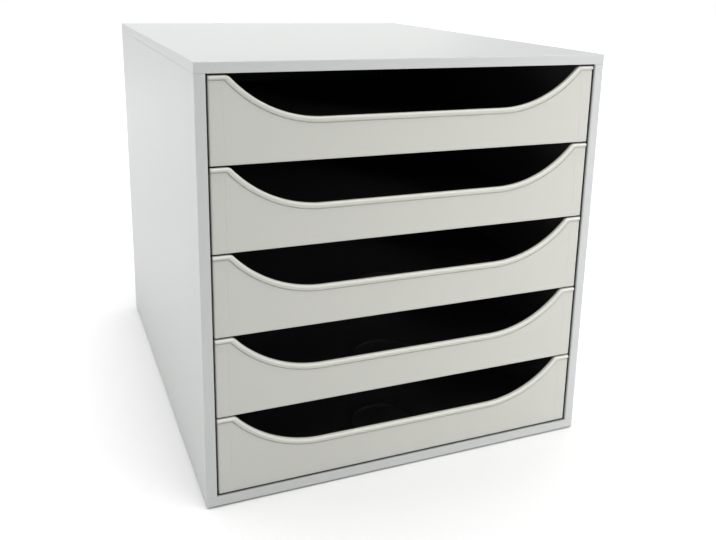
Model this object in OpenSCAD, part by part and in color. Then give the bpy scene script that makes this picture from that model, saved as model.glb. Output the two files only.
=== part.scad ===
// Desktop file drawer: a plastic casing of five clipped panels with five sliding paper drawers.
// Millimetres. X runs to the right, Y to the back, Z up. The origin is on the desk, under the
// middle of the casing, and the drawers open towards -Y.

/* [Casing] */
// Width of the casing, side to side
casing_w = 285; // [250:1:330]
// Depth of the casing, front to back
casing_d = 360; // [330:1:420]
// Height of the edges of the top panel and the base panel
plate_h = 6.9; // [5.5:0.1:9]
// Width of the front and rear edges of the side panels
side_edge_w = 6.9; // [5.5:0.1:9]
// Thickness of the panels' skins
skin_t = 2.6; // [2:0.1:3.4]
// Depth of the turned-in front edge of a side panel
front_turn_d = 8; // [6:0.5:10]
// Depth of the turned-in rear edge of a side panel
rear_turn_d = 6; // [5:0.5:8]
// Rounding of the casing's outer edges
edge_r = 0.9; // [0.4:0.1:1.5]
// Rounding of the edges along a seam between two panels
seam_r = 0.3; // [0.1:0.1:0.5]
// Width of the top and base panels' rims, from outside to inside
plate_rim_w = 10; // [9.5:0.5:14]
// Thickness of the ribs on the hidden side of the top, base and back panels
rib_t = 1.6; // [1.2:0.1:2.4]
// Largest distance between two ribs
rib_pitch = 52; // [40:1:80]

/* [Panel joints] */
// Thickness of the tongue along the upper and lower edge of a side panel
tongue_t = 2; // [1.4:0.1:2.4]
// Height of that tongue
tongue_h = 2.4; // [1.5:0.1:2.8]
// Clearance round a tongue, a clip and the back panel
fit_gap = 0.2; // [0.1:0.05:0.3]
// Width of a clip on the back panel
back_clip_w = 14; // [8:1:20]
// Distance of the back panel's outer face from the rear of the casing
back_inset = 0.8; // [0.4:0.1:1.2]
// Thickness of the back panel
back_t = 2.6; // [2:0.1:3]

/* [Feet] */
// Diameter of a foot pad
foot_d = 18; // [12:1:24]
// Height of a foot pad that stands below the base panel
foot_proud = 1; // [0.6:0.1:2]
// Height of a foot pad that is sunk in its cup
foot_sunk = 1.8; // [1.2:0.1:2.4]
// Wall of the cup round a foot pad
foot_cup_t = 2; // [1.4:0.1:3]
// Distance of a foot's centre from the casing's outer faces
foot_inset = 26; // [24:1:40]

/* [Drawer fronts] */
// Height of a drawer front
front_h = 53.6; // [50:0.2:62]
// Gap above, below and between the drawer fronts
front_gap = 1.2; // [0.9:0.1:2]
// Gap between a drawer front and the side panel's edge
side_gap = 1.2; // [0.9:0.1:2]
// Thickness of a drawer front's wall
front_t = 2.2; // [1.8:0.1:2.6]
// Rounding of a drawer front's upright end edges
front_edge_r = 1.2; // [0.4:0.1:1.5]
// Thickness of the turned-in lower edge and ends of a drawer front
turn_t = 1.2; // [1:0.1:1.3]
// Depth of the turned-in lower edge and ends, behind the wall
turn_d = 4.8; // [3:0.2:5]

/* [Scooped rim] */
// Width of the level shoulder at each end of a drawer front
shoulder_w = 12; // [9:0.5:18]
// Depth of the scoop below the shoulders
scoop_depth = 26.8; // [20:0.2:30]
// Radius of the two arcs between the shoulders and the level middle
scoop_r = 78; // [60:1:90]
// Rounding of the corner between a shoulder and its arc
shoulder_r = 4.5; // [2:0.1:5.5]
// Width of the bead along the arcs and the level middle
bead_w = 3.2; // [2.6:0.1:4]
// Width of the bead on the shoulders
shoulder_bead_w = 2.4; // [2:0.1:4]
// Distance that the bead stands in front of the wall
bead_proud = 1; // [0.6:0.1:1.4]
// Rounding of the bead's upper edge
bead_r = 1.5; // [0.8:0.1:1.6]
// Rounding of the bead's lower edge
bead_low_r = 0.9; // [0.4:0.1:1.1]
// Width of the crease under the bead
crease_w = 0.7; // [0.3:0.1:1]
// Depth of the crease
crease_d = 0.5; // [0.2:0.1:0.8]
// Distance of the faint upright groove from each end of the front
groove_inset = 8.5; // [6:0.5:10]
// Radius of the groove's round bottom
groove_r = 1.5; // [1:0.1:2]
// Depth of the groove
groove_d = 0.15; // [0.1:0.05:0.4]
// Distance of the groove's ends from the crease and the lower edge
groove_end = 3; // [2:0.5:5]

/* [Trays] */
// Thickness of a tray's walls
tray_wall_t = 1.8; // [1.4:0.1:2.2]
// Thickness of a tray's floor
tray_floor_t = 1.8; // [1.4:0.1:2.2]
// Height of a tray's underside above the lower edge of its front
tray_lift = 1.8; // [1.6:0.1:2.2]
// Distance of a tray's upper edge below the top of its front
tray_drop = 1; // [0.8:0.1:2.6]
// Rounding of a tray's upright corners
tray_corner_r = 6; // [4:0.5:10]
// Distance of the tray's own scooped rim below that of the front
tray_rim_drop = 4; // [3.4:0.1:6]
// Height of the skids under a tray
skid_h = 1; // [0.6:0.1:1.2]
// Width of a skid
skid_w = 2.4; // [1.6:0.1:4]
// Distance of the outer skids from the middle
skid_x = 84; // [60:1:90]
// Radius of the round finger recess in a tray's floor
recess_r = 23.5; // [18:0.5:30]
// Distance of the recess's centre from the tray's front wall
recess_y = 36; // [34:1:60]
// Depth of the recess
recess_d = 0.8; // [0.4:0.1:0.9]
// Width of the lip round the recess
lip_w = 1.6; // [1:0.1:2.4]
// Height of that lip above the floor
lip_h = 1.2; // [0.6:0.1:2]

/* [Front clips] */
// Distance of the inner clips from the middle
clip_x_inner = 42; // [30:1:50]
// Distance of the outer clips from the middle
clip_x_outer = 98; // [80:1:106]
// Height of a clip's underside above the front's lower edge
clip_z = 10; // [8:0.5:12]
// Width of a clip
clip_w = 14; // [8:1:20]
// Thickness of a clip
clip_t = 2; // [1.6:0.1:2.6]
// Height of a clip's nose
nose_h = 1; // [0.6:0.1:1.4]
// Depth of a clip's nose
nose_d = 1.4; // [1:0.1:2]

/* [Runners] */
// Width of the runner flange along each side of a tray
flange_w = 5.2; // [4:0.1:6]
// Thickness of that flange
flange_t = 2; // [1.6:0.1:2.4]
// Distance of a flange's upper face below the top of its drawer's front
flange_drop = 3.4; // [3:0.1:5]
// Gap between a flange and the casing's front opening
flange_gap = 1; // [0.7:0.1:1.5]
// Clearance between a flange and its rails, above and below
run_gap = 0.35; // [0.25:0.05:0.6]
// Clearance between a rail's inner edge and a tray's wall
rail_gap = 1; // [0.6:0.1:1.5]
// Thickness of a rail
rail_t = 2; // [1.6:0.1:2.4]
// Length of the slanted lead-in at a rail's front end
rail_lead = 6; // [4:0.5:10]
// Clearance between a rail's front end and the turned-in end of a drawer front
rail_front_gap = 3; // [2:0.5:6]
// Clearance at a drawer's stops, open and closed
stop_gap = 0.3; // [0.2:0.1:0.6]
// Length of a stop block in a rail channel
stop_len = 4; // [3:0.5:8]
// Clearance between a stop block and a flange's edge
stop_side_gap = 1; // [0.6:0.1:1.4]
// Distance that a tray's stop tab stands out of its flange
tab_out = 3.4; // [2.8:0.1:4]
// Length of a stop tab
tab_len = 12; // [8:0.5:16]
// Slanted corner at a stop tab's rear end
tab_lead = 1.2; // [0.5:0.1:1.5]
// Distance that a drawer slides out
drawer_travel = 265; // [200:5:280]

/* [Hidden] */
$fn = 64;
drawer_count = 5;
eps = 0.01;
bead_layers = 4;
shoulder_cuts = 3;

// Colours
casing_color = [0.86, 0.87, 0.86];
front_color = [0.80, 0.80, 0.76];
tray_color = [0.05, 0.05, 0.055];
foot_color = [0.22, 0.22, 0.23];

// Casing
pitch = front_h + front_gap;
bay_h = drawer_count * pitch + front_gap;
base_top = foot_proud + plate_h;
bay_top = base_top + bay_h;
casing_h = bay_top + plate_h;
opening_w = casing_w - 2 * side_edge_w;
front_y = -casing_d / 2;
rear_y = casing_d / 2;
skin_x = casing_w / 2 - skin_t;
tongue_x = casing_w / 2 - side_edge_w / 2;
tongue_len = casing_d - 60;
foot_x = casing_w / 2 - foot_inset;
foot_y = casing_d / 2 - foot_inset;
plate_pocket_h = plate_h - skin_t;

// Back panel
back_w = opening_w - 2 * fit_gap;
back_y1 = rear_y - back_inset;
back_y0 = back_y1 - back_t;
back_clip_out = side_edge_w - skin_t - 1;
back_clip_z = [base_top + bay_h * 0.15, base_top + bay_h * 0.5, base_top + bay_h * 0.85];
back_clip_d = 1.6;

// Drawer fronts, in a drawer's own frame: X across, height from the front's lower edge, and
// depth from the plane of the casing's front edges, negative towards the back
front_w = opening_w - 2 * side_gap;
wall_face = -bead_proud;
wall_back = wall_face - front_t;
rim_z = front_h - scoop_depth;
scoop_run = sqrt(pow(scoop_r, 2) - pow(scoop_r - scoop_depth, 2));
flat_half = front_w / 2 - shoulder_w - scoop_run;
arc_z = rim_z + scoop_r;
fillet_dz = arc_z - (front_h - shoulder_r);
fillet_dx = sqrt(pow(scoop_r + shoulder_r, 2) - pow(fillet_dz, 2));
fillet_x = flat_half + fillet_dx;
fillet_a = atan2(fillet_dz, fillet_dx);
clip_xs = [-clip_x_outer, -clip_x_inner, clip_x_inner, clip_x_outer];

// Trays
flange_x = opening_w / 2 - flange_gap;
tray_w = 2 * (flange_x - flange_w);
tray_y0 = front_y - wall_back + fit_gap;
tray_y1 = rear_y - rear_turn_d - stop_gap;
tray_z0 = tray_lift;
tray_z1 = front_h - tray_drop;
floor_z = tray_z0 + tray_floor_t;
flange_y0 = front_y - wall_back + turn_d + 1;
recess_cy = tray_y0 + tray_wall_t + recess_y;

// Runners, heights from a front's lower edge
flange_z1 = front_h - flange_drop;
ledge_z = flange_z1 - flange_t - run_gap;
upper_rail_z = flange_z1 + run_gap;
rail_x = tray_w / 2 + rail_gap;
rail_y0 = flange_y0 - 1 + rail_front_gap;
rail_y1 = rear_y - rear_turn_d;
stop_x = flange_x + stop_side_gap;
tab_front_y = tray_y1 - tab_len;
stop_y = tab_front_y - drawer_travel - stop_gap;

function front_z(k) = base_top + front_gap + (drawer_count - k) * pitch;
function rib_count(span) = max(1, ceil(span / rib_pitch) - 1);
function rib_at(span, i) = -span / 2 + span * i / (rib_count(span) + 1);

// ---- Shared shapes ----

// What a corner loses when it is rounded: the corner is at the origin, the material lies
// towards -dx, -dy
module corner_waste(r, dx, dy) {
    if (r > 0)
        difference() {
            translate([dx > 0 ? -r : -eps, dy > 0 ? -r : -eps])
                square([r + eps, r + eps]);
            translate([-dx * r, -dy * r])
                circle(r);
        }
}

// A rectangle from a to b with its own radius at each corner: r_low for the two lower ones,
// r_high for the two upper ones
module soft_rect(a, b, r_low, r_high) {
    difference() {
        translate(a)
            square(b - a);
        for (side = [-1, 1]) {
            translate([side > 0 ? b.x : a.x, a.y])
                corner_waste(r_low, side, -1);
            translate([side > 0 ? b.x : a.x, b.y])
                corner_waste(r_high, side, 1);
        }
    }
}

// A plane figure in X and Z, made solid from depth d0 to depth d1 in front of the origin
module upright(d0, d1) {
    rotate([90, 0, 0])
        translate([0, 0, d0])
            linear_extrude(d1 - d0)
                children();
}

// A section in Y and Z, made solid from x0 to x1
module sideways(x0, x1) {
    translate([x0, 0, 0])
        rotate([90, 0, 90])
            linear_extrude(x1 - x0)
                children();
}

module box(a, b) {
    translate(a)
        cube(b - a);
}

// ---- Casing ----

// A casing plate from z0 to z1: rounded outside, its seam edge on the side given by seam_low
module plate_body(z0, z1, seam_low) {
    low_r = seam_low ? seam_r : edge_r;
    high_r = seam_low ? edge_r : seam_r;
    intersection() {
        translate([0, 0, z0])
            linear_extrude(z1 - z0)
                soft_rect([-casing_w / 2, front_y], [casing_w / 2, rear_y], edge_r, edge_r);
        upright(front_y, rear_y)
            soft_rect([-casing_w / 2, z0], [casing_w / 2, z1], low_r, high_r);
        sideways(-casing_w / 2, casing_w / 2)
            soft_rect([front_y, z0], [rear_y, z1], low_r, high_r);
    }
}

// The pocket on a plate's hidden side, with its lattice of ribs left standing
module plate_pocket(z0, z1) {
    pocket_w = casing_w - 2 * plate_rim_w;
    pocket_d = casing_d - 2 * plate_rim_w;
    difference() {
        box([-pocket_w / 2, -pocket_d / 2, z0], [pocket_w / 2, pocket_d / 2, z1]);
        for (i = [1 : rib_count(pocket_w)])
            translate([rib_at(pocket_w, i), 0, (z0 + z1) / 2])
                cube([rib_t, pocket_d, z1 - z0 + 2], center = true);
        for (i = [1 : rib_count(pocket_d)])
            translate([0, rib_at(pocket_d, i), (z0 + z1) / 2])
                cube([pocket_w, rib_t, z1 - z0 + 2], center = true);
    }
}

// The groove that takes a side panel's tongue
module tongue_groove(z0, z1) {
    groove_w = tongue_t + 2 * fit_gap;
    for (side = [-1, 1])
        translate([side * tongue_x, 0, (z0 + z1) / 2])
            cube([groove_w, tongue_len + 2 * fit_gap, z1 - z0], center = true);
}

module top_panel() {
    color(casing_color)
        difference() {
            plate_body(bay_top, casing_h, true);
            plate_pocket(bay_top - eps, bay_top + plate_pocket_h);
            tongue_groove(bay_top - eps, bay_top + tongue_h + fit_gap);
        }
}

module base_panel() {
    color(casing_color)
        difference() {
            union() {
                difference() {
                    plate_body(foot_proud, base_top, false);
                    plate_pocket(foot_proud - eps, foot_proud + plate_pocket_h);
                }
                for (x = [-foot_x, foot_x], y = [-foot_y, foot_y])
                    translate([x, y, foot_proud])
                        cylinder(r = foot_d / 2 + fit_gap + foot_cup_t, h = plate_pocket_h + eps);
            }
            for (x = [-foot_x, foot_x], y = [-foot_y, foot_y])
                translate([x, y, foot_proud - eps])
                    cylinder(r = foot_d / 2 + fit_gap, h = foot_sunk + eps);
            tongue_groove(base_top - tongue_h - fit_gap, base_top + eps);
        }
}

// A round pad with its lower edge turned
module foot(x, y) {
    bevel = foot_proud / 2;
    color(foot_color)
        translate([x, y, 0])
            rotate_extrude()
                polygon([
                    [0, 0],
                    [foot_d / 2 - bevel, 0],
                    [foot_d / 2, bevel],
                    [foot_d / 2, foot_proud + foot_sunk],
                    [0, foot_proud + foot_sunk]
                ]);
}

// One rail seen from above, from the skin to the tray, with its lead-in at the front
module rail_plan() {
    polygon([
        [skin_x + eps, rail_y0],
        [rail_x, rail_y0 + rail_lead],
        [rail_x, rail_y1 + eps],
        [skin_x + eps, rail_y1 + eps]
    ]);
}

// A drawer's channel on the right side: ledge, upper rail and the stop block between them
module runner_channel(z) {
    translate([0, 0, z + ledge_z - rail_t])
        linear_extrude(rail_t)
            rail_plan();
    translate([0, 0, z + upper_rail_z])
        linear_extrude(rail_t)
            rail_plan();
    box(
        [stop_x, stop_y - stop_len, z + ledge_z - eps],
        [skin_x + eps, stop_y, z + upper_rail_z + eps]
    );
}

module right_side() {
    inner_x = casing_w / 2 - side_edge_w;
    difference() {
        union() {
            difference() {
                intersection() {
                    translate([0, 0, base_top])
                        linear_extrude(bay_h)
                            soft_rect([inner_x, front_y], [casing_w / 2, rear_y], edge_r, edge_r);
                    sideways(inner_x, casing_w / 2)
                        soft_rect([front_y, base_top], [rear_y, bay_top], seam_r, seam_r);
                }
                box(
                    [inner_x - eps, front_y + front_turn_d, base_top + skin_t],
                    [skin_x, rear_y - rear_turn_d, bay_top - skin_t]
                );
            }
            for (k = [1 : drawer_count])
                runner_channel(front_z(k));
            for (z = [base_top - tongue_h, bay_top - eps])
                translate([tongue_x - tongue_t / 2, -tongue_len / 2, z])
                    cube([tongue_t, tongue_len, tongue_h + eps]);
        }
        for (z = back_clip_z)
            box(
                [inner_x - eps, back_y0 - fit_gap, z - back_clip_w / 2 - fit_gap],
                [
                    inner_x + back_clip_out,
                    back_y0 + back_clip_d + fit_gap,
                    z + back_clip_w / 2 + fit_gap
                ]
            );
    }
}

module right_side_panel() {
    color(casing_color)
        right_side();
}

module left_side_panel() {
    color(casing_color)
        mirror([1, 0, 0])
            right_side();
}

// A flat plate between the side panels' rear edges, ribbed outside, with clips at its ends
module back_panel() {
    rim_w = 8;
    skin_d = back_t - 1;
    field_w = back_w - 2 * rim_w;
    field_h = bay_h - 2 * rim_w;
    mid_z = base_top + bay_h / 2;
    color(casing_color) {
        difference() {
            box([-back_w / 2, back_y0, base_top], [back_w / 2, back_y1, bay_top]);
            difference() {
                translate([0, back_y0 + skin_d + back_t / 2, mid_z])
                    cube([field_w, back_t, field_h], center = true);
                for (i = [1 : rib_count(field_h)])
                    translate([0, back_y1, mid_z + rib_at(field_h, i)])
                        cube([field_w + 1, 2 * back_t, rib_t], center = true);
                for (i = [1 : rib_count(field_w)])
                    translate([rib_at(field_w, i), back_y1, mid_z])
                        cube([rib_t, 2 * back_t, field_h + 1], center = true);
            }
        }
        for (z = back_clip_z)
            box(
                [-back_w / 2 - back_clip_out, back_y0, z - back_clip_w / 2],
                [back_w / 2 + back_clip_out, back_y0 + back_clip_d, z + back_clip_w / 2]
            );
    }
}

// ---- Drawer fronts ----

// The front's outline with its upper edge drawn in: the arcs and the level middle by inset, the
// shoulders by shoulder_inset, so that two of these outlines bound a band of even width
module scooped_outline(inset, shoulder_inset) {
    difference() {
        translate([-front_w / 2, 0])
            square([front_w, front_h - shoulder_inset]);
        scoop(inset);
    }
}

// What lies below the bead, with the bead's lower edge raised by rise
module under_bead(rise) {
    scooped_outline(bead_w - rise, shoulder_bead_w - rise);
}

module scoop(inset) {
    translate([-flat_half, rim_z - inset])
        square([2 * flat_half, front_h]);
    for (side = [-1, 1])
        translate([side * flat_half, arc_z])
            circle(scoop_r + inset, $fn = 180);
}

// Short flat cuts that round the two shoulder corners, each tangent to the corner's circle,
// with the outline drawn in by inset
module shoulder_waste(inset) {
    for (side = [0, 1], i = [1 : shoulder_cuts])
        mirror([side, 0])
            translate([fillet_x, front_h - shoulder_r])
                rotate((90 - fillet_a) * i / (shoulder_cuts + 1))
                    translate([-shoulder_r, shoulder_r - inset])
                        square(2 * shoulder_r);
}

// The bead's round upper edge in thin layers, each drawn in as the round asks, its lower edge
// drawn in alike
module bead() {
    upright(wall_back, -bead_r)
        difference() {
            scooped_outline(0, 0);
            shoulder_waste(0);
            under_bead(0);
        }
    for (i = [0 : bead_layers - 1]) {
        inset = bead_r * (1 - cos(90 * (i + 0.5) / bead_layers));
        upright(
            bead_r * (sin(90 * i / bead_layers) - 1),
            bead_r * (sin(90 * (i + 1) / bead_layers) - 1)
        )
            difference() {
                scooped_outline(inset, inset);
                shoulder_waste(inset);
                under_bead(inset * bead_low_r / bead_r);
            }
    }
}

// A hook that reaches back through the tray's front wall
module front_clip(x) {
    reach = fit_gap + tray_wall_t + fit_gap + nose_d;
    upright(wall_back - reach, wall_back + eps)
        translate([x - clip_w / 2, clip_z])
            square([clip_w, clip_t]);
    upright(wall_back - reach, wall_back - reach + nose_d)
        translate([x - clip_w / 2, clip_z])
            square([clip_w, clip_t + nose_h]);
}

// Everything below depth d of a front's plan, its two outer edges rounded by r
module end_rounding(d, r) {
    linear_extrude(front_h)
        soft_rect([-front_w / 2, -d], [front_w / 2, turn_d - wall_back], r, 0);
}

// The wall under the bead, with its turned-in lower edge and ends
module front_wall() {
    half_w = front_w / 2;
    intersection() {
        union() {
            upright(wall_back, wall_face)
                under_bead(shoulder_bead_w / 2);
            upright(wall_back - turn_d, wall_face)
                translate([-half_w, 0])
                    square([front_w, turn_t]);
            for (side = [-1, 1])
                upright(wall_back - turn_d, wall_face)
                    translate([side > 0 ? half_w - turn_t : -half_w, 0])
                        square([turn_t, front_h - shoulder_bead_w]);
        }
        end_rounding(wall_face, front_edge_r);
    }
}

module drawer_front(k) {
    groove_h = front_h - shoulder_bead_w - crease_w - 2 * groove_end;
    color(front_color)
        translate([0, front_y, front_z(k)]) {
            difference() {
                union() {
                    front_wall();
                    intersection() {
                        bead();
                        end_rounding(0, bead_low_r);
                    }
                }
                // the crease under the bead
                upright(wall_face - crease_d, wall_face + eps)
                    difference() {
                        under_bead(0);
                        under_bead(-crease_w);
                    }
                // the faint upright grooves near the ends
                for (side = [-1, 1])
                    translate([
                        side * (front_w / 2 - groove_inset),
                        groove_d - groove_r - wall_face,
                        groove_end
                    ])
                        cylinder(r = groove_r, h = groove_h);
            }
            for (x = clip_xs)
                front_clip(x);
        }
}

// ---- Trays ----

module tray_plan(inset) {
    soft_rect(
        [-tray_w / 2 + inset, tray_y0 + inset],
        [tray_w / 2 - inset, tray_y1 - inset],
        tray_corner_r - inset,
        tray_corner_r - inset
    );
}

// The right-hand runner flange seen from above, with the stop tab at its rear end
module flange_plan() {
    polygon([
        [tray_w / 2 - tray_wall_t / 2, flange_y0],
        [flange_x, flange_y0],
        [flange_x, tab_front_y],
        [flange_x + tab_out, tab_front_y],
        [flange_x + tab_out, tray_y1 - tab_lead],
        [flange_x + tab_out - tab_lead, tray_y1],
        [tray_w / 2 - tray_wall_t / 2, tray_y1]
    ]);
}

module drawer_tray(k) {
    slot_z0 = clip_z - fit_gap;
    slot_z1 = clip_z + clip_t + nose_h + fit_gap;
    color(tray_color)
        translate([0, 0, front_z(k)]) {
            difference() {
                translate([0, 0, tray_z0])
                    linear_extrude(tray_z1 - tray_z0)
                        tray_plan(0);
                translate([0, 0, floor_z])
                    linear_extrude(tray_z1)
                        tray_plan(tray_wall_t);
                // the front wall follows the front's scoop, a little lower
                translate([0, tray_y0 + tray_wall_t, 0])
                    upright(-eps, tray_wall_t + eps)
                        scoop(tray_rim_drop);
                // slots for the front's clips
                for (x = clip_xs)
                    translate([0, tray_y0 + tray_wall_t, 0])
                        upright(-eps, tray_wall_t + eps)
                            translate([x - clip_w / 2 - fit_gap, slot_z0])
                                square([clip_w + 2 * fit_gap, slot_z1 - slot_z0]);
                // the finger recess
                translate([0, recess_cy, floor_z - recess_d])
                    cylinder(r = recess_r, h = recess_d + eps);
            }
            // the lip round the recess
            translate([0, recess_cy, floor_z - eps])
                difference() {
                    cylinder(r = recess_r + lip_w, h = lip_h + eps);
                    translate([0, 0, -eps])
                        cylinder(r = recess_r, h = lip_h + 3 * eps);
                }
            // runner flanges
            for (side = [0, 1])
                mirror([side, 0, 0])
                    translate([0, 0, flange_z1 - flange_t])
                        linear_extrude(flange_t)
                            flange_plan();
            // skids
            for (x = [-skid_x, 0, skid_x])
                box(
                    [x - skid_w / 2, tray_y0 + turn_d + 4, tray_z0 - skid_h],
                    [x + skid_w / 2, tray_y1 - tray_corner_r, tray_z0 + eps]
                );
        }
}

top_panel();
base_panel();
left_side_panel();
right_side_panel();
back_panel();
foot(-foot_x, -foot_y);  // foot_front_left
foot(foot_x, -foot_y);  // foot_front_right
foot(-foot_x, foot_y);  // foot_rear_left
foot(foot_x, foot_y);  // foot_rear_right
for (k = [1 : drawer_count]) {
    drawer_tray(k);
    drawer_front(k);
}
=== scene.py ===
import math

import bmesh
import bpy
from mathutils import Matrix, Vector


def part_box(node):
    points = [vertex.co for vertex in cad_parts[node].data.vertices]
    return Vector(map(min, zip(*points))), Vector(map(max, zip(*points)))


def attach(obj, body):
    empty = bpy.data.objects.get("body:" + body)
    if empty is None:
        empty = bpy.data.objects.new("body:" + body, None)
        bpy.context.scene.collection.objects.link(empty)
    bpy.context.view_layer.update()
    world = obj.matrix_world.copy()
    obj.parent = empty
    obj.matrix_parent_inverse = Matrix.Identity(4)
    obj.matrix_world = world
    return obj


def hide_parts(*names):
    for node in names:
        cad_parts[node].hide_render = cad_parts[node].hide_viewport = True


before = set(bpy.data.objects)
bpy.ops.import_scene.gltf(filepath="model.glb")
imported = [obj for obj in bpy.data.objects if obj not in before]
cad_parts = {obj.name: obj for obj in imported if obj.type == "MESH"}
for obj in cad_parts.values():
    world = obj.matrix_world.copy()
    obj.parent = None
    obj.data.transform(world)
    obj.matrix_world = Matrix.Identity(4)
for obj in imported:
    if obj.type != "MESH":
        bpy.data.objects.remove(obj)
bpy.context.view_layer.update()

bl_info = {
    "name": "Desktop file drawer",
    "version": (1, 0, 0),
    "blender": (4, 5, 0),
    "location": "3D View > Sidebar > File drawer",
    "description": "Builds the visible pieces of a five-drawer desktop unit round its CAD frame",
    "category": "Object",
}

MM = 0.001
DRAWERS = tuple(range(1, 6))
FRONT_LOW, FRONT_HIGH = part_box("drawer_1_front")
LOWEST_FRONT_LOW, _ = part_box("drawer_5_front")
CASING_LOW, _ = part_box("right_side_panel")

# points closer than this are one point
MERGE_GAP = 0.002 * MM
# a turn between two faces below the first angle is flat, above the second one it shades as an
# edge, and above the third one the edge is broken
FLAT_ANGLE = math.radians(1)
SHARP_ANGLE = math.radians(32)
BROKEN_ANGLE = math.radians(50)


# ---- Node networks written as expressions ----


class Value:
    """A number socket that takes part in Python expressions and adds Math nodes."""

    def __init__(self, net, socket):
        self.net, self.socket = net, socket

    def __add__(self, other):
        return self.net.math("ADD", self, other)

    def __radd__(self, other):
        return self.net.math("ADD", other, self)

    def __sub__(self, other):
        return self.net.math("SUBTRACT", self, other)

    def __rsub__(self, other):
        return self.net.math("SUBTRACT", other, self)

    def __mul__(self, other):
        return self.net.math("MULTIPLY", self, other)

    def __rmul__(self, other):
        return self.net.math("MULTIPLY", other, self)

    def __truediv__(self, other):
        return self.net.math("DIVIDE", self, other)

    def __rtruediv__(self, other):
        return self.net.math("DIVIDE", other, self)

    def __gt__(self, other):
        return self.net.math("GREATER_THAN", self, other)

    def __lt__(self, other):
        return self.net.math("LESS_THAN", self, other)


class Net:
    """A node tree, with one method that adds any node and a few short names for common ones."""

    def __init__(self, tree):
        self.tree = tree

    def add(self, kind, settings=None, values=None):
        """Adds a node: its settings are set first, then its sockets are fed by name or index. The
        settings captures and cases give the items of a node that starts without them."""
        node = self.tree.nodes.new(kind)
        for name, value in (settings or {}).items():
            if name == "captures":
                for item_kind, item_name in value:
                    node.capture_items.new(item_kind, item_name)
            elif name == "cases":
                while len(node.index_switch_items) < value:
                    node.index_switch_items.new()
            else:
                setattr(node, name, value)
        for key, value in (values or {}).items():
            self.feed(node.inputs[key], value)
        return node

    def feed(self, socket, value):
        if isinstance(value, Value):
            value = value.socket
        if isinstance(value, bpy.types.NodeSocket):
            self.tree.links.new(value, socket)
        else:
            socket.default_value = value

    def value(self, socket):
        return Value(self, socket)

    def math(self, operation, *numbers):
        node = self.add("ShaderNodeMath", {"operation": operation}, dict(enumerate(numbers)))
        return self.value(node.outputs[0])

    def root(self, number):
        return self.math("SQRT", self.math("MAXIMUM", number, 0.0))

    def largest(self, a, b):
        return self.math("MAXIMUM", a, b)

    def least(self, a, b):
        return self.math("MINIMUM", a, b)

    def clamp(self, number):
        return self.least(self.largest(number, 0.0), 1.0)

    def choose(self, mask, yes, no):
        return no + (yes - no) * mask

    def mix(self, factor, first, second):
        """A blend of two colours. A Mix node's sockets for colours share their names with those
        for numbers, so they go by index."""
        node = self.add(
            "ShaderNodeMix",
            {"data_type": "RGBA"},
            {0: factor, 6: first, 7: second},
        )
        return node.outputs[2]

    def table(self, index, numbers):
        """One of a list of numbers, picked by index."""
        node = self.add(
            "GeometryNodeIndexSwitch",
            {"data_type": "FLOAT", "cases": len(numbers)},
            {0: index, **{i + 1: number for i, number in enumerate(numbers)}},
        )
        return self.value(node.outputs[0])


# ---- Materials ----


def shader(name):
    """A new material, its network and the place of a point on the object."""
    material = bpy.data.materials.new(name)
    material.use_nodes = True
    material.node_tree.nodes.clear()
    net = Net(material.node_tree)
    place = net.add("ShaderNodeTexCoord").outputs["Object"]
    return material, net, place


def noise(net, place, scale, detail, roughness=0.5):
    node = net.add(
        "ShaderNodeTexNoise",
        {"noise_dimensions": "3D"},
        {"Vector": place, "Scale": scale, "Detail": detail, "Roughness": roughness},
    )
    return net.value(node.outputs["Fac"])


def finish_shader(net, colour, roughness, height, depth, settings):
    """The plastic shader at the end of a network, with a bump of the given depth in metres."""
    bump = net.add(
        "ShaderNodeBump",
        None,
        {"Strength": 1.0, "Distance": depth, "Height": height},
    )
    body = net.add(
        "ShaderNodeBsdfPrincipled",
        None,
        {
            "Base Color": colour,
            "Roughness": roughness,
            "Normal": bump.outputs["Normal"],
            **settings,
        },
    )
    net.add("ShaderNodeOutputMaterial", None, {"Surface": body.outputs[0]})


def tinted(colour, share):
    return (colour[0] * share, colour[1] * share, colour[2] * share, 1.0)


def grey(level):
    return (level, level, level, 1.0)


def mouth_painted_shade(net, place):
    """Where the inner faces near the drawers' mouth get painted shade, 0 to 1, broken up by noise.
    """
    # the painted shade lies within the mouth's outline, which stands a little outside the fronts',
    # and behind a clean lip; it is full after a short start and fades further in
    outside = 1.4 * MM
    lip = 1.0 * MM
    start = 1.0 * MM
    full_to = 10 * MM
    fade_over = 25 * MM
    faded_share = 0.8

    x, y, z = (net.value(s) for s in net.add("ShaderNodeSeparateXYZ", None, {0: place}).outputs)
    within = (net.math("ABSOLUTE", x) < FRONT_HIGH.x + outside) * (z < FRONT_HIGH.z + outside)
    within = within * (z > LOWEST_FRONT_LOW.z - outside)
    behind = y - (CASING_LOW.y + lip)
    faded = net.clamp((behind - full_to) / fade_over) * faded_share
    near = net.clamp(behind / start) * (1.0 - faded)
    patches = 0.85 + noise(net, place, scale=60.0, detail=4.0, roughness=0.6) * 0.3
    return within * near * patches


def casing_plastic(colour):
    """Satin moulded plastic: a very fine spark-eroded grain under faint flow clouding, and painted
    shade on the inner faces near the drawers' mouth.
    """
    material, net, place = shader("casing_satin_plastic")
    cloud = noise(net, place, scale=9.0, detail=2.0)
    grain = noise(net, place, scale=2600.0, detail=2.0)
    waves = noise(net, place, scale=14.0, detail=1.0)
    tone = net.mix(cloud, tinted(colour, 0.975), tinted(colour, 1.02))
    # painted shade: near the drawers' mouth the inner faces darken towards 0.12 of the casing's
    # colour, so the gaps round the fronts read dark
    with_painted_light = net.mix(mouth_painted_shade(net, place), tone, tinted(colour, 0.12))
    roughness = 0.33 + cloud * 0.07 + grain * 0.05
    height = grain * 0.35 + waves * 6.0
    finish_shader(net, with_painted_light, roughness, height, depth=0.04 * MM, settings={"IOR": 1.5})
    return material


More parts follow.
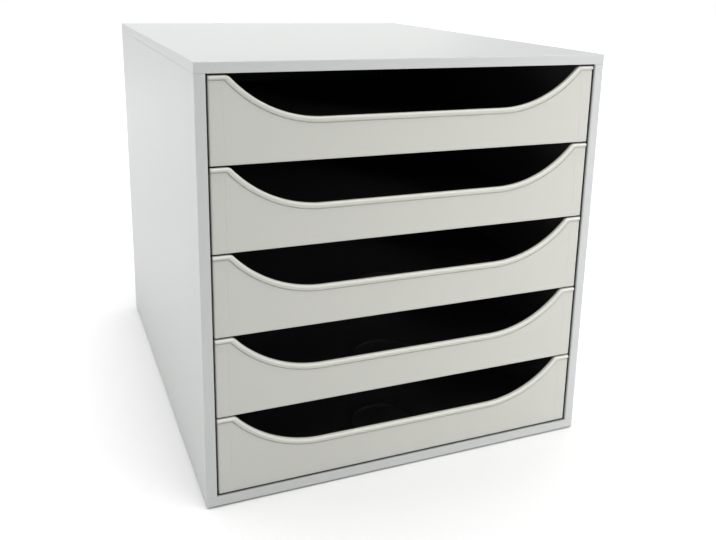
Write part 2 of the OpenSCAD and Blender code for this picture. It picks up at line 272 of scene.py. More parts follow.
def front_plastic(colour):
    """Matt moulded plastic of the drawer fronts, with an eroded grain that shows in raking light,
    smoother along the rim where the mould's edge polished it, and with a painted highlight there
    that pales its colour."""
    material, net, place = shader("front_matt_plastic")
    cloud = noise(net, place, scale=12.0, detail=2.0)
    grain = noise(net, place, scale=1500.0, detail=3.0, roughness=0.6)
    tone = net.mix(cloud, tinted(colour, 0.98), tinted(colour, 1.015))
    speck = net.mix(grain, tinted(colour, 0.985), tone)
    rim = net.value(net.add("ShaderNodeAttribute", {"attribute_name": "rim"}).outputs["Fac"])
    # painted highlight: the rim's rows are paled towards 1.35 times the front's colour
    rim_highlighted = net.mix(rim, speck, tinted(colour, 1.35))
    roughness = 0.47 + grain * 0.08 - rim * 0.1
    finish_shader(net, rim_highlighted, roughness, grain, depth=0.03 * MM, settings={"IOR": 1.48})
    return material


def tray_plastic(colour):
    """Black moulded plastic: satin, with a fine grain and faint rubbed patches on its floor."""
    material, net, place = shader("tray_black_plastic")
    rubbed = noise(net, place, scale=22.0, detail=4.0, roughness=0.62)
    grain = noise(net, place, scale=1800.0, detail=2.0)
    tone = net.mix(rubbed, tinted(colour, 0.85), tinted(colour, 1.3))
    roughness = 0.36 + rubbed * 0.14 + grain * 0.05
    finish_shader(net, tone, roughness, grain, depth=0.03 * MM, settings={"IOR": 1.48})
    return material


def pad_rubber(colour):
    """Dull rubber of the foot pads, with dust in its grain."""
    material, net, place = shader("pad_rubber")
    dust = noise(net, place, scale=160.0, detail=5.0, roughness=0.7)
    grain = noise(net, place, scale=2200.0, detail=2.0)
    tone = net.mix(dust, tinted(colour, 0.85), tinted(colour, 1.5))
    roughness = 0.72 + dust * 0.15
    finish_shader(net, tone, roughness, grain, depth=0.05 * MM, settings={"IOR": 1.5})
    return material


def floor_paper(colour):
    """Pale paper that glows ever whiter away from the object: painted light that stands in for a
    lit sweep.
    """
    # distances from the object's middle, in metres
    glow_from = 0.6
    glow_over = 1.0

    material, net, place = shader("stage_paper")
    fibre = noise(net, place, scale=400.0, detail=2.0)
    tone = net.mix(fibre, tinted(colour, 0.995), tinted(colour, 1.0))
    length = net.add("ShaderNodeVectorMath", {"operation": "LENGTH"}, {0: place})
    away = net.value(length.outputs["Value"])
    # painted light: the paper's own glow rises from nothing to 0.4 between these distances
    glow = net.mix(net.clamp((away - glow_from) / glow_over), grey(0.0), grey(0.4))
    settings = {"Specular IOR Level": 0.1, "Emission Color": glow, "Emission Strength": 1.0}
    finish_shader(net, tone, 0.9 + fibre * 0.05, fibre, depth=0.01 * MM, settings=settings)
    return material


# ---- Meshes ----


def piece(name, mesh, material, body, nodes):
    """A finished piece: smooth where its faces nearly agree, on its body, in place of its nodes."""
    obj = bpy.data.objects.new(name, mesh)
    bpy.context.scene.collection.objects.link(obj)
    mesh.materials.clear()
    mesh.materials.append(material)
    mesh.polygons.foreach_set("use_smooth", [True] * len(mesh.polygons))
    mesh.set_sharp_from_angle(angle=SHARP_ANGLE)
    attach(obj, body)
    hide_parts(*nodes)
    return obj


def cad_copy(node):
    """The CAD node's mesh as a new one of large convex faces, its doubles merged."""
    form = bmesh.new()
    form.from_mesh(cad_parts[node].data)
    bmesh.ops.remove_doubles(form, verts=form.verts, dist=MERGE_GAP)
    bmesh.ops.dissolve_limit(form, angle_limit=FLAT_ANGLE, verts=form.verts, edges=form.edges)
    bmesh.ops.connect_verts_concave(form, faces=form.faces)
    mesh = bpy.data.meshes.new(node)
    form.to_mesh(mesh)
    form.free()
    return mesh


def softened(node, name, material, body, width):
    """A CAD node's form with its crisp edges broken, as a mould leaves them."""
    obj = piece(name, cad_copy(node), material, body, [node])
    bevel = obj.modifiers.new("broken_edges", "BEVEL")
    bevel.width = width
    bevel.segments = 2
    bevel.limit_method = "ANGLE"
    bevel.angle_limit = BROKEN_ANGLE
    bevel.miter_outer = "MITER_ARC"
    shading = obj.modifiers.new("flat_faces_first", "WEIGHTED_NORMAL")
    shading.mode = "FACE_AREA"
    shading.weight = 100
    shading.keep_sharp = True


# ---- The scooped front ----


# sockets of the front's node tree that take a size, and the setting that feeds each
FRONT_INPUTS = (
    ("Width", "width"),
    ("Height", "height"),
    ("Shoulder Width", "shoulder_width"),
    ("Scoop Depth", "scoop_depth"),
    ("Scoop Radius", "scoop_radius"),
    ("Corner Radius", "corner_radius"),
    ("Bead Width", "bead_width"),
    ("Shoulder Bead Width", "shoulder_bead"),
    ("Bead Height", "bead_proud"),
    ("Bead Radius", "bead_radius"),
    ("Bead Lower Radius", "bead_low_radius"),
    ("Crease Width", "crease_width"),
    ("Crease Depth", "crease_depth"),
    ("Wall", "wall"),
    ("Return Depth", "return_depth"),
    ("Return Wall", "return_wall"),
    ("End Radius", "end_radius"),
    ("Groove Inset", "groove_inset"),
    ("Groove Half Width", "groove_half_width"),
    ("Groove Depth", "groove_depth"),
)
# sockets that take a place
FRONT_PLACES = ("Front Plane", "Lower Edge")
# stations are rounded to this many digits of a metre
STATION_DIGITS = 6


def rail_stations(sizes):
    """Where the front's sections stand across its width, closest where its rim turns."""
    flat_steps, arc_steps, corner_steps, end_steps = 8, 30, 6, 6
    # steps over half a groove, which one more step passes on either side
    groove_steps = 4
    # where the end returns start, a pair of stations this far from the place makes a sharp step
    beside_return = 0.01 * MM

    half = sizes.width / 2
    radius = sizes.scoop_radius
    corner = sizes.corner_radius
    run = math.sqrt(radius**2 - (radius - sizes.scoop_depth) ** 2)
    flat = half - sizes.shoulder_width - run
    dz = radius - sizes.scoop_depth + corner
    dx = math.sqrt((radius + corner) ** 2 - dz**2)
    turn_x = flat + dx
    last = math.atan2(dx, dz)
    groove = half - sizes.groove_inset
    inner = half - sizes.return_wall
    end = half - sizes.end_radius
    quarter = math.radians(90)

    stations = [flat * i / flat_steps for i in range(flat_steps + 1)]
    stations += [flat + radius * math.sin(last * i / arc_steps) for i in range(1, arc_steps + 1)]
    stations += [turn_x - corner * math.sin(last * i / corner_steps) for i in range(corner_steps)]
    stations += [
        groove + sizes.groove_half_width * i / groove_steps
        for i in range(-groove_steps - 1, groove_steps + 2)
    ]
    stations += [(turn_x + groove) / 2, (groove + inner) / 2]
    stations += [inner - beside_return, inner + beside_return]
    stations += [
        end + sizes.end_radius * math.sin(quarter * i / end_steps) for i in range(end_steps + 1)
    ]
    right = sorted(set(round(x, STATION_DIGITS) for x in stations if x > 0))
    return [-x for x in reversed(right)] + [0.0] + right


class Section:
    """The rows of a front's section, from the back of its rim over its face and round its back."""

    def __init__(self):
        self.inset, self.depth, self.height, self.rim = [], [], [], []

    def row(self, inset, depth, height=0.0, rim=0.0):
        """Adds a row: how far in from the rim it lies, how deep, how high above what it is measured
        from, and how much of the painted highlight along the rim it has. Gives its number."""
        self.inset.append(inset)
        self.depth.append(depth)
        self.height.append(height)
        self.rim.append(rim)
        return len(self.inset) - 1


def front_section(size):
    """The front's section, and the numbers of the rows that its stretches start and end with."""
    # rounding of the rim's back edge and of the wall's lower edge, and the share of it by which
    # its middle row stands in
    back_edge, back_middle = 0.3 * MM, 0.3
    edge, edge_middle = 0.5 * MM, 0.29
    # a groove ends this far from the crease and from the lower edge, between two rows close by
    groove_end, close_by = 3 * MM, 0.05 * MM
    # the wall's back starts this far below the rim
    below_rim = 1 * MM
    # a quarter turn in four steps, and the share of painted highlight that goes with each on the
    # rim
    turns = [math.radians(90 * i / 4) for i in range(5)]
    rim_highlight_shares = (1.0, 1.0, 1.0, 0.6, 0.0)
    # the crease's rows: share of its width and share of its depth
    crease_rows = ((0.18, 0.8), (0.5, 1.0), (0.82, 0.8), (1.0, 0.0))

    bead = size["Bead Width"]
    bead_r = size["Bead Radius"]
    low = size["Bead Lower Radius"]
    crease = size["Crease Width"]
    wall = -1.0 * size["Bead Height"]
    back = wall - size["Wall"]
    deep = back - size["Return Depth"]
    section = Section()
    rows = {}

    section.row(back_edge, back)
    section.row(back_edge * back_middle, back + back_edge * back_middle)
    section.row(0.0, back + back_edge, rim=1.0)
    upper = [
        section.row(bead_r * (1 - math.cos(turn)), bead_r * (math.sin(turn) - 1), rim=tone)
        for turn, tone in zip(turns, rim_highlight_shares)
    ]
    lower = [
        section.row(bead + low * (math.sin(turn) - 1), low * (math.cos(turn) - 1))
        for turn in turns
    ]
    rows["face"] = upper[0]
    rows["below_bead"] = lower[0]
    section.row(bead, wall)
    for share, fall in crease_rows:
        section.row(bead + crease * share, wall - size["Crease Depth"] * fall)
    foot = bead + crease
    section.row(foot, wall, close_by - groove_end)
    rows["groove_top"] = section.row(foot, wall, -groove_end - close_by)
    rows["groove_foot"] = section.row(foot, wall, groove_end + close_by)
    section.row(foot, wall, groove_end - close_by)
    section.row(foot, wall, edge)
    section.row(foot, wall - edge * edge_middle, edge * edge_middle)
    rows["wall_foot"] = section.row(foot, wall - edge, 0.0)
    section.row(0.0, deep, 0.0)
    section.row(0.0, deep, size["Return Wall"])
    rows["return_top"] = section.row(0.0, back, size["Return Wall"])
    # two rows in one place: the first goes back with the end returns, the second doesn't
    rows["wall_back"] = section.row(0.0, back, -below_rim)
    section.row(0.0, back, -below_rim)
    return section, rows


def swept_section(net, rail, row_count):
    """A closed tube of row_count rows along the rail, and on each of its points the station it
    belongs to and its row. The points are given their places afterwards."""
    spot = net.add("GeometryNodeInputPosition")
    station = net.add("ShaderNodeSeparateXYZ", None, {0: spot.outputs[0]})
    curve = net.add("GeometryNodeMeshToCurve", None, {"Mesh": rail})
    along = net.add(
        "GeometryNodeCaptureAttribute",
        {"captures": (("FLOAT", "across"),), "domain": "POINT"},
        {"Geometry": curve.outputs[0], "across": station.outputs["X"]},
    )
    ring = net.add(
        "GeometryNodeCurvePrimitiveCircle",
        {"mode": "RADIUS"},
        {"Resolution": row_count, "Radius": 1 * MM},
    )
    around = net.add(
        "GeometryNodeCaptureAttribute",
        {"captures": (("INT", "row"),), "domain": "POINT"},
        {"Geometry": ring.outputs[0], "row": net.add("GeometryNodeInputIndex").outputs[0]},
    )
    swept = net.add(
        "GeometryNodeCurveToMesh",
        None,
        {
            "Curve": along.outputs["Geometry"],
            "Profile Curve": around.outputs["Geometry"],
            "Fill Caps": True,
        },
    )
    across = net.value(along.outputs["across"])
    row = net.value(around.outputs["row"])
    return swept.outputs[0], across, row


def scooped_rim(net, size, off_middle, inset, shoulder_inset):
    """The rim's own rule: how far from the middle and how high a point of the section lies, with
    the rim drawn in by inset, and on the shoulders by shoulder_inset."""
    rounding = 0.5 * 10**-STATION_DIGITS
    top = size["Height"]
    radius = size["Scoop Radius"]
    corner = size["Corner Radius"]
    drop = size["Scoop Depth"]

    # the rim's arc and corner round, as they are where it isn't drawn in
    run = net.root(radius * radius - (radius - drop) * (radius - drop))
    flat = size["Width"] / 2.0 - size["Shoulder Width"] - run
    arc_z = top - drop + radius
    dz = radius - drop + corner
    dx = net.root((radius + corner) * (radius + corner) - dz * dz)
    turn_x = flat + dx
    arc_end = flat + radius * dx / (radius + corner)

    # the same drawn in: the arc grows, and the round shrinks until the two meet in a mitre
    rest = net.largest(corner - inset, 0.0)
    centre_z = top - shoulder_inset - rest
    reach = radius + inset + rest
    mitre = flat + net.root(reach * reach - (arc_z - centre_z) * (arc_z - centre_z))
    grown = radius + inset
    arc_x = net.least(flat + (off_middle - flat) / radius * grown, mitre)
    arc_height = arc_z - net.root(grown * grown - (arc_x - flat) * (arc_x - flat))
    cosine = net.least(net.largest((off_middle - turn_x) / corner, -1.0), 0.0)
    round_x = mitre + cosine * rest
    round_z = centre_z + net.root(1.0 - cosine * cosine) * rest

    on_arc = off_middle > flat
    on_round = off_middle > arc_end + rounding
    on_shoulder = off_middle > turn_x
    out_x = net.choose(on_arc, arc_x, off_middle)
    out_x = net.choose(on_round, round_x, out_x)
    out_x = net.choose(on_shoulder, net.largest(off_middle, mitre), out_x)
    out_z = net.choose(on_arc, arc_height, top - drop - inset)
    out_z = net.choose(on_round, round_z, out_z)
    out_z = net.choose(on_shoulder, top - shoulder_inset, out_z)
    return out_x, out_z


def front_tree():
    """Sweeps a closed section along a rail of stations and lays it out by the rule of the scooped
    rim: shoulders, corner rounds, two arcs and a level middle, under a bead of even width."""
    tree = bpy.data.node_groups.new("scooped_front", "GeometryNodeTree")
    sockets = tree.interface
    sockets.new_socket(name="Rail", in_out="INPUT", socket_type="NodeSocketGeometry")
    for label in [label for label, _ in FRONT_INPUTS] + list(FRONT_PLACES):
        sockets.new_socket(name=label, in_out="INPUT", socket_type="NodeSocketFloat")
    sockets.new_socket(name="Material", in_out="INPUT", socket_type="NodeSocketMaterial")
    sockets.new_socket(name="Front", in_out="OUTPUT", socket_type="NodeSocketGeometry")

    net = Net(tree)
    given = net.add("NodeGroupInput").outputs
    size = {item.name: net.value(item) for item in given if item.name}
    section, rows = front_section(size)
    swept, across, row = swept_section(net, given["Rail"], len(section.inset))

    def between(first, last):
        return (row > rows[first] - 0.5) * (row < rows[last] + 0.5)

    inset = net.table(row, section.inset)
    depth = net.table(row, section.depth)
    height = net.table(row, section.height)
    on_face = between("face", "wall_foot")
    left_rim = between("groove_foot", "return_top")
    in_groove = between("groove_top", "groove_foot")
    on_return = between("return_top", "wall_back")
    behind_rim = row > rows["wall_back"] - 0.5

    narrower = size["Bead Width"] - size["Shoulder Bead Width"]
    shoulder_inset = inset - narrower * between("below_bead", "wall_foot")
    off_middle = net.math("ABSOLUTE", across)
    out_x, rim_z = scooped_rim(net, size, off_middle, inset, shoulder_inset)
    z = net.choose(left_rim, height, rim_z + height)
    z = net.least(z, size["Height"] - behind_rim * size["Shoulder Bead Width"])

    # rounded ends, the faint upright grooves and the returns behind the wall
    half = size["Width"] / 2.0
    end_r = size["End Radius"]
    past = net.largest(off_middle - (half - end_r), 0.0)
    fall = end_r - net.root(end_r * end_r - past * past)
    off = (off_middle - (half - size["Groove Inset"])) / size["Groove Half Width"]
    groove = size["Groove Depth"] * net.largest(1.0 - off * off, 0.0)
    behind = size["Return Depth"] * (off_middle > half - size["Return Wall"])
    depth = depth - fall * on_face - groove * in_groove - behind * on_return

    placed = net.add(
        "ShaderNodeCombineXYZ",
        None,
        {
            0: net.math("SIGN", across) * out_x,
            1: size["Front Plane"] - depth,
            2: size["Lower Edge"] + z,
        },
    )
    shaped = net.add(
        "GeometryNodeSetPosition",
        None,
        {"Geometry": swept, "Position": placed.outputs[0]},
    )
    # each point's share of the painted highlight along the rim, which the front's material reads
    with_painted_light = net.add(
        "GeometryNodeStoreNamedAttribute",
        {"data_type": "FLOAT", "domain": "POINT"},
        {"Geometry": shaped.outputs[0], "Name": "rim", "Value": net.table(row, section.rim)},
    )
    merged = net.add(
        "GeometryNodeMergeByDistance",
        None,
        {"Geometry": with_painted_light.outputs[0], "Distance": MERGE_GAP},
    )
    whole = net.add("GeometryNodeRealizeInstances", None, {"Geometry": merged.outputs[0]})
    coated = net.add(
        "GeometryNodeSetMaterial",
        None,
        {"Geometry": whole.outputs[0], "Material": given["Material"]},
    )
    net.add("NodeGroupOutput", None, {"Front": coated.outputs[0]})
    return tree


def evaluated(obj, name):
    """The plain mesh that an object's modifiers give; the object itself is removed."""
    bpy.context.view_layer.update()
    graph = bpy.context.evaluated_depsgraph_get()
    result = bpy.data.meshes.new_from_object(obj.evaluated_get(graph))
    result.name = name
    bpy.data.objects.remove(obj)
    return result


def with_tree(name, mesh, tree, values):
    """An object of that mesh with the node tree on it, its named inputs set."""
    obj = bpy.data.objects.new(name, mesh)
    bpy.context.scene.collection.objects.link(obj)
    modifier = obj.modifiers.new("nodes", "NODES")
    modifier.node_group = tree
    for item in tree.interface.items_tree:
        if item.in_out == "INPUT" and item.name in values:
            modifier[item.identifier] = values[item.name]
    return obj


def add_prism(form, outline, x0, x1):
    """A closed prism in X of an outline in Y and Z."""
    rings = [[form.verts.new((x, y, z)) for y, z in outline] for x in (x0, x1)]
    count = len(outline)
    faces = [form.faces.new(rings[0]), form.faces.new(list(reversed(rings[1])))]
    for i in range(count):
        j = (i + 1) % count
        faces.append(form.faces.new((rings[0][j], rings[0][i], rings[1][i], rings[1][j])))
    bmesh.ops.recalc_face_normals(form, faces=faces)


def add_clips(form, sizes, plane, z0):
    """The four hooks that reach back through the tray's front wall, their noses upwards."""
    centres = (-98 * MM, -42 * MM, 42 * MM, 98 * MM)
    half_width = 7 * MM
    underside, thickness = 10 * MM, 2 * MM
    reach, into_wall = 3.6 * MM, 0.4 * MM
    nose_height, nose_depth = 1 * MM, 1.4 * MM
    slope_depth, slope_height = 0.4 * MM, 0.7 * MM
    chamfer = 0.5 * MM

    back = plane + sizes.bead_proud + sizes.wall
    root, tip = back - into_wall, back + reach
    low = z0 + underside
    high = low + thickness
    nose = high + nose_height
    outline = [
        (root, low),
        (tip - chamfer, low),
        (tip, low + chamfer),
        (tip, nose - slope_height),
        (tip - slope_depth, nose),
        (tip - nose_depth, nose),
        (tip - nose_depth, high),
        (root, high),
    ]
    for centre in centres:
        add_prism(form, outline, centre - half_width, centre + half_width)


# ---- The foot pads ----


def pad_profile(radius, top):
    """A foot pad's half section as radii and heights, with ring grooves in its underside."""
    ring_count = 4
    # the pad's radius in steps from ring to ring
    ring_steps = 5.4
    groove_mouth, groove_floor, groove_depth = 0.35 * MM, 0.2 * MM, 0.35 * MM
    lower_run, lower_turn, lower_rise = 0.5 * MM, 0.15 * MM, 0.5 * MM
    upper_edge = 0.2 * MM

    line = [(0.0, 0.0)]
    for i in range(1, ring_count + 1):
        r = radius * i / ring_steps
        line += [
            (r - groove_mouth, 0.0),
            (r - groove_floor, groove_depth),
            (r + groove_floor, groove_depth),
            (r + groove_mouth, 0.0),
        ]
    line += [
        (radius - lower_run, 0.0),
        (radius - lower_turn, lower_turn),
        (radius, lower_rise),
        (radius, top - upper_edge),
        (radius - upper_edge, top),
        (0.0, top),
    ]
    return line


def turned(name, line, x, y):
    """A closed mesh turned from a half section about the upright line through x and y."""
    steps = 48
    form = bmesh.new()
    verts = [form.verts.new((x + r, y, z)) for r, z in line]
    edges = [form.edges.new(pair) for pair in zip(verts, verts[1:])]
    bmesh.ops.spin(
        form,
        geom=verts + edges,
        cent=(x, y, 0),
        axis=(0, 0, 1),
        angle=math.tau,
        steps=steps,
        use_duplicate=False,
    )
    bmesh.ops.remove_doubles(form, verts=form.verts, dist=MERGE_GAP)
    bmesh.ops.recalc_face_normals(form, faces=form.faces)
    mesh = bpy.data.meshes.new(name)
    form.to_mesh(mesh)
    form.free()
    return mesh


# ---- Settings ----


def distance(name, description, default):
    return bpy.props.FloatProperty(
        name=name,
        description=description,
        default=default,
        min=0.0,
        unit="LENGTH",
        subtype="DISTANCE",
        precision=5,
    )


def colour(name, description, default):
    return bpy.props.FloatVectorProperty(
        name=name,
        description=description,
        default=default,
        size=3,
        min=0.0,
        max=1.0,
        subtype="COLOR",
    )


class FileDrawerFrontSizes(bpy.types.PropertyGroup):
    width: distance("Width", "Width of a drawer front", FRONT_HIGH.x - FRONT_LOW.x)
    height: distance("Height", "Height of a drawer front", FRONT_HIGH.z - FRONT_LOW.z)
    shoulder_width: distance("Shoulder", "Width of the level shoulder at each end", 12 * MM)
    scoop_depth: distance("Scoop depth", "Depth of the scoop below the shoulders", 26.8 * MM)
    scoop_radius: distance("Scoop radius", "Radius of the rim's two arcs", 78 * MM)
    corner_radius: distance("Corner", "Rounding between a shoulder and its arc", 4.5 * MM)
    bead_width: distance("Bead width", "Width of the bead along the arcs", 3.2 * MM)
    shoulder_bead: distance("Shoulder bead", "Width of the bead on the shoulders", 2.4 * MM)
    bead_proud: distance("Bead height", "How far the bead stands before the wall", 1 * MM)
    bead_radius: distance("Bead rounding", "Rounding of the bead's upper edge", 1.5 * MM)
    bead_low_radius: distance("Lower rounding", "Rounding of the bead's lower edge", 0.9 * MM)
    crease_width: distance("Crease width", "Width of the crease under the bead", 0.7 * MM)
    crease_depth: distance("Crease depth", "Depth of the crease", 0.5 * MM)
    wall: distance("Wall", "Thickness of the front's wall", 2.2 * MM)
    return_depth: distance("Return depth", "Depth of the turned-in edges", 4.8 * MM)
    return_wall: distance("Return wall", "Thickness of the turned-in edges", 1.2 * MM)
    end_radius: distance("End rounding", "Rounding of the upright end edges", 1.2 * MM)
    groove_inset: distance("Groove inset", "Distance of the groove from an end", 8.5 * MM)
    groove_half_width: distance("Groove half width", "Half the groove's width", 0.65 * MM)
    groove_depth: distance("Groove depth", "Depth of the faint upright groove", 0.15 * MM)


class FileDrawerEdges(bpy.types.PropertyGroup):
    casing: distance("Casing edges", "Broken edge on the casing's panels", 0.3 * MM)
    back: distance("Back edges", "Broken edge on the back panel and its ribs", 0.1 * MM)
    tray: distance("Tray edges", "Broken edge on the trays", 0.3 * MM)


class FileDrawerFinish(bpy.types.PropertyGroup):
    casing: colour("Casing", "Colour of the casing's panels", (0.474, 0.486, 0.478))
    front: colour("Fronts", "Colour of the drawer fronts", (0.486, 0.486, 0.45))
    tray: colour("Trays", "Colour of the trays", (0.055, 0.055, 0.0555))
    pad: colour("Pads", "Colour of the foot pads", (0.05, 0.05, 0.052))
    floor: colour("Floor", "Colour of the stage floor", (0.86, 0.86, 0.86))


def brightness(name, description, default):
    return bpy.props.FloatProperty(name=name, description=description, default=default, min=0.0)


class FileDrawerStage(bpy.types.PropertyGroup):
    sky: brightness("Room light", "Brightness of the surroundings", 0.42)
    sun: brightness("Top light", "Strength of the soft light high in front", 1.28)
    back: brightness("Back wall", "Power of the wall of light behind the object, in watts", 4.6)
    left: brightness("Left wall", "Power of the wall of light at the left, in watts", 13.6)
    ceiling: brightness("Ceiling panel", "Power of the panel overhead, in watts", 13.05)
    strip: brightness("Right strip", "Power of the tall strip at the front right, in watts", 2.05)


# ---- The stage ----


# place, aim and size in metres and spread in degrees of each area light, under the setting
# that holds its power
STUDIO = {
    "back": ((0.0, 1.9, 0.9), (0.0, 0.1, 0.2), (2.4, 1.4), 180),
    "left": ((-1.7, 0.6, 0.75), (0.0, 0.3, 0.2), (2.4, 1.5), 180),
    "ceiling": ((0.1, 0.15, 1.4), (0.05, 0.0, 0.2), (1.4, 1.2), 180),
    "strip": ((0.9, -1.6, 0.35), (0.3, -0.18, 0.15), (0.15, 1.6), 36),
}
# the area lights that the satin plastic mirrors
MIRRORED = ("back", "left", "ceiling")
# towards the soft light high in front, and the angle in degrees that it fills
TOP_LIGHT_FROM = (0.08, -0.36, 1)
TOP_LIGHT_ANGLE = 40
# half the width of the floor in metres, and its squares each way
FLOOR_HALF = 6.0
FLOOR_SQUARES = 24

# azimuth, elevation and roll in degrees; the point looked at and the steps from it to the right,
# up and back in metres; the lens in millimetres and the shift in widths of the picture
CAMERA_ANGLES = (-23.39, 14.14, 1.37)
CAMERA_AIM = (0.0, 0.0, 0.145)
CAMERA_STEPS = (0.0483, 0.0194, 0.7145)
CAMERA_LENS = 41.37
CAMERA_SHIFT = (-0.0307, -0.1215)


def stage_floor(scene):
    """A wide flat floor of pale paper."""
    form = bmesh.new()
    squares = FLOOR_SQUARES
    bmesh.ops.create_grid(form, x_segments=squares, y_segments=squares, size=FLOOR_HALF)
    mesh = bpy.data.meshes.new("stage_floor")
    form.to_mesh(mesh)
    form.free()
    floor = bpy.data.objects.new("stage_floor", mesh)
    scene.collection.objects.link(floor)
    mesh.materials.append(floor_paper(scene.filedrawer_finish.floor))


def studio_world(scene):
    """Dim surroundings that light the object, white where the camera sees them."""
    world = bpy.data.worlds.new("studio")
    scene.world = world
    world.use_nodes = True
    world.node_tree.nodes.clear()
    net = Net(world.node_tree)
    seen = net.value(net.add("ShaderNodeLightPath").outputs["Is Camera Ray"])
    sky = scene.filedrawer_stage.sky
    background = net.add(
        "ShaderNodeBackground",
        None,
        {"Color": grey(1.0), "Strength": sky + seen * (1.0 - sky)},
    )
    net.add("ShaderNodeOutputWorld", None, {"Surface": background.outputs[0]})


def top_light(scene):
    """The soft light high in front of the object."""
    data = bpy.data.lights.new("top_light", "SUN")
    data.energy = scene.filedrawer_stage.sun
    data.angle = math.radians(TOP_LIGHT_ANGLE)
    obj = bpy.data.objects.new("top_light", data)
    scene.collection.objects.link(obj)
    turn = Vector(TOP_LIGHT_FROM).to_track_quat("Z", "Y")
    obj.matrix_world = turn.to_matrix().to_4x4()


def area_light(scene, name, place, aim, size, spread):
    """One of the studio's panels of light, which the camera doesn't see."""
    data = bpy.data.lights.new(name + "_light", "AREA")
    data.shape = "RECTANGLE"
    data.size, data.size_y = size
    data.spread = math.radians(spread)
    data.energy = getattr(scene.filedrawer_stage, name)
    obj = bpy.data.objects.new(name + "_light", data)
    scene.collection.objects.link(obj)
    direction = Vector(aim) - Vector(place)
    turn = direction.to_track_quat("-Z", "Y").to_matrix().to_4x4()
    obj.matrix_world = Matrix.Translation(place) @ turn
    obj.visible_camera = False
    obj.visible_glossy = name in MIRRORED


def photo_camera(scene):
    """The camera at the photograph's angle, from close by and with its picture shifted."""
    data = bpy.data.cameras.new("photo_camera")
    camera = bpy.data.objects.new("photo_camera", data)
    scene.collection.objects.link(camera)
    azimuth, elevation, roll = (math.radians(angle) for angle in CAMERA_ANGLES)
    back = Vector(
        (
            math.sin(azimuth) * math.cos(elevation),
            -math.cos(azimuth) * math.cos(elevation),
            math.sin(elevation),
        )
    )
    level = Vector((0, 0, 1)).cross(back).normalized()
    upright = back.cross(level)
    right = level * math.cos(roll) + upright * math.sin(roll)
    up = upright * math.cos(roll) - level * math.sin(roll)
    to_right, to_top, to_back = CAMERA_STEPS
    place = Vector(CAMERA_AIM) + back * to_back + right * to_right + up * to_top
    columns = Matrix((right, up, back)).transposed().to_4x4()
    camera.matrix_world = Matrix.Translation(place) @ columns
    data.lens = CAMERA_LENS
    data.sensor_width = 36.0
    data.sensor_fit = "HORIZONTAL"
    data.shift_x, data.shift_y = CAMERA_SHIFT
    data.clip_start = 0.01
    scene.camera = camera


# ---- Operators ----


class FILEDRAWER_OT_casing(bpy.types.Operator):
    """Builds the casing's five panels with broken edges and a satin finish"""

    bl_idname = "filedrawer.casing"
    bl_label = "Casing panels"

    def execute(self, context):
        scene = context.scene
        material = casing_plastic(scene.filedrawer_finish.casing)
        edges = scene.filedrawer_edges
        for node, width in (
            ("top_panel", edges.casing),
            ("base_panel", edges.casing),
            ("left_side_panel", edges.casing),
            ("right_side_panel", edges.casing),
            ("back_panel", edges.back),
        ):
            softened(node, node + "_shell", material, "casing", width)
        return {"FINISHED"}


class FILEDRAWER_OT_feet(bpy.types.Operator):
    """Turns the four foot pads, with rings moulded into their undersides"""

    bl_idname = "filedrawer.feet"
    bl_label = "Foot pads"

    def execute(self, context):
        material = pad_rubber(context.scene.filedrawer_finish.pad)
        for node in ("foot_front_left", "foot_front_right", "foot_rear_left", "foot_rear_right"):
            low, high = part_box(node)
            line = pad_profile((high.x - low.x) / 2, high.z)
            x, y = (high.x + low.x) / 2, (high.y + low.y) / 2
            mesh = turned(node + "_pad", line, x, y)
            piece(node + "_pad", mesh, material, "casing", [node])
        return {"FINISHED"}


class FILEDRAWER_OT_trays(bpy.types.Operator):
    """Builds the five black trays with broken edges and a satin finish"""

    bl_idname = "filedrawer.trays"
    bl_label = "Trays"

    def execute(self, context):
        scene = context.scene
        material = tray_plastic(scene.filedrawer_finish.tray)
        width = scene.filedrawer_edges.tray
        for k in DRAWERS:
            node = f"drawer_{k}_tray"
            softened(node, node + "_body", material, f"drawer_{k}", width)
        return {"FINISHED"}


class FILEDRAWER_OT_fronts(bpy.types.Operator):
    """Builds the five scooped fronts from one rule and adds their clips"""

    bl_idname = "filedrawer.fronts"
    bl_label = "Scooped fronts"

    def execute(self, context):
        scene = context.scene
        sizes = scene.filedrawer_front
        material = front_plastic(scene.filedrawer_finish.front)
        tree = front_tree()
        stations = rail_stations(sizes)
        for k in DRAWERS:
            node = f"drawer_{k}_front"
            low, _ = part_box(node)
            line = bpy.data.meshes.new("rail")
            line.from_pydata(
                [(x, 0, 0) for x in stations],
                [(i, i + 1) for i in range(len(stations) - 1)],
                [],
            )
            values = {label: getattr(sizes, name) for label, name in FRONT_INPUTS}
            values["Front Plane"] = low.y
            values["Lower Edge"] = low.z
            values["Material"] = material
            mesh = evaluated(with_tree("rail", line, tree, values), node + "_face")
            form = bmesh.new()
            form.from_mesh(mesh)
            bmesh.ops.remove_doubles(form, verts=form.verts, dist=MERGE_GAP)
            bmesh.ops.recalc_face_normals(form, faces=form.faces)
            add_clips(form, sizes, low.y, low.z)
            form.to_mesh(mesh)
            form.free()
            piece(node + "_face", mesh, material, f"drawer_{k}", [node])
        return {"FINISHED"}


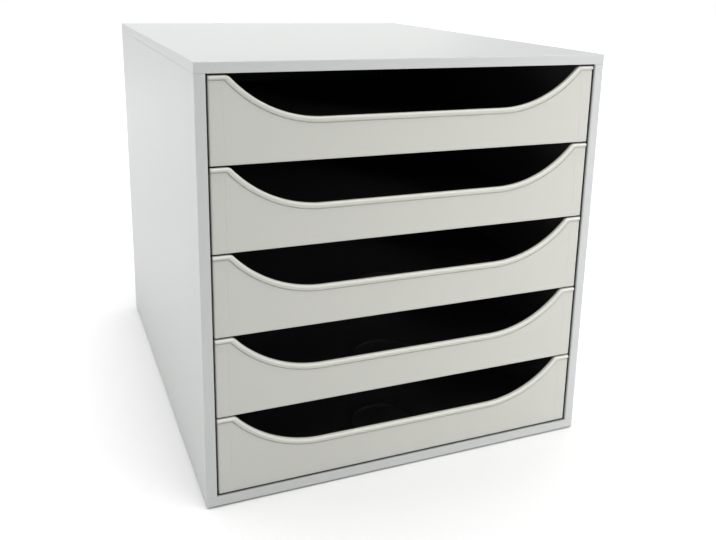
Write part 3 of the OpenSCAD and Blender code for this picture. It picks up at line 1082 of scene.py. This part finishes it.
class FILEDRAWER_OT_stage(bpy.types.Operator):
    """Sets up the floor, the soft studio light and the camera at the photograph's angle"""

    bl_idname = "filedrawer.stage"
    bl_label = "Stage"

    def execute(self, context):
        scene = context.scene
        stage_floor(scene)
        studio_world(scene)
        top_light(scene)
        for name, (place, aim, size, spread) in STUDIO.items():
            area_light(scene, name, place, aim, size, spread)
        scene.view_settings.view_transform = "Standard"
        scene.view_settings.look = "None"
        photo_camera(scene)
        return {"FINISHED"}


class FILEDRAWER_PT_parts(bpy.types.Panel):
    bl_idname = "FILEDRAWER_PT_parts"
    bl_label = "File drawer"
    bl_space_type = "VIEW_3D"
    bl_region_type = "UI"
    bl_category = "File drawer"

    def draw(self, context):
        layout = self.layout
        scene = context.scene
        for operator in OPERATORS:
            layout.operator(operator.bl_idname)
        for group in (
            scene.filedrawer_front,
            scene.filedrawer_edges,
            scene.filedrawer_finish,
            scene.filedrawer_stage,
        ):
            box = layout.box()
            for name in group.__annotations__:
                box.prop(group, name)


OPERATORS = (
    FILEDRAWER_OT_casing,
    FILEDRAWER_OT_feet,
    FILEDRAWER_OT_trays,
    FILEDRAWER_OT_fronts,
    FILEDRAWER_OT_stage,
)
GROUPS = {
    "filedrawer_front": FileDrawerFrontSizes,
    "filedrawer_edges": FileDrawerEdges,
    "filedrawer_finish": FileDrawerFinish,
    "filedrawer_stage": FileDrawerStage,
}


def register():
    for group in GROUPS.values():
        bpy.utils.register_class(group)
    for name, group in GROUPS.items():
        setattr(bpy.types.Scene, name, bpy.props.PointerProperty(type=group))
    for operator in OPERATORS:
        bpy.utils.register_class(operator)
    bpy.utils.register_class(FILEDRAWER_PT_parts)


def unregister():
    bpy.utils.unregister_class(FILEDRAWER_PT_parts)
    for operator in reversed(OPERATORS):
        bpy.utils.unregister_class(operator)
    for name, group in GROUPS.items():
        delattr(bpy.types.Scene, name)
        bpy.utils.unregister_class(group)


def main():
    register()
    bpy.ops.filedrawer.casing()
    bpy.ops.filedrawer.feet()
    bpy.ops.filedrawer.trays()
    bpy.ops.filedrawer.fronts()
    bpy.ops.filedrawer.stage()


if __name__ == "__main__":
    main()
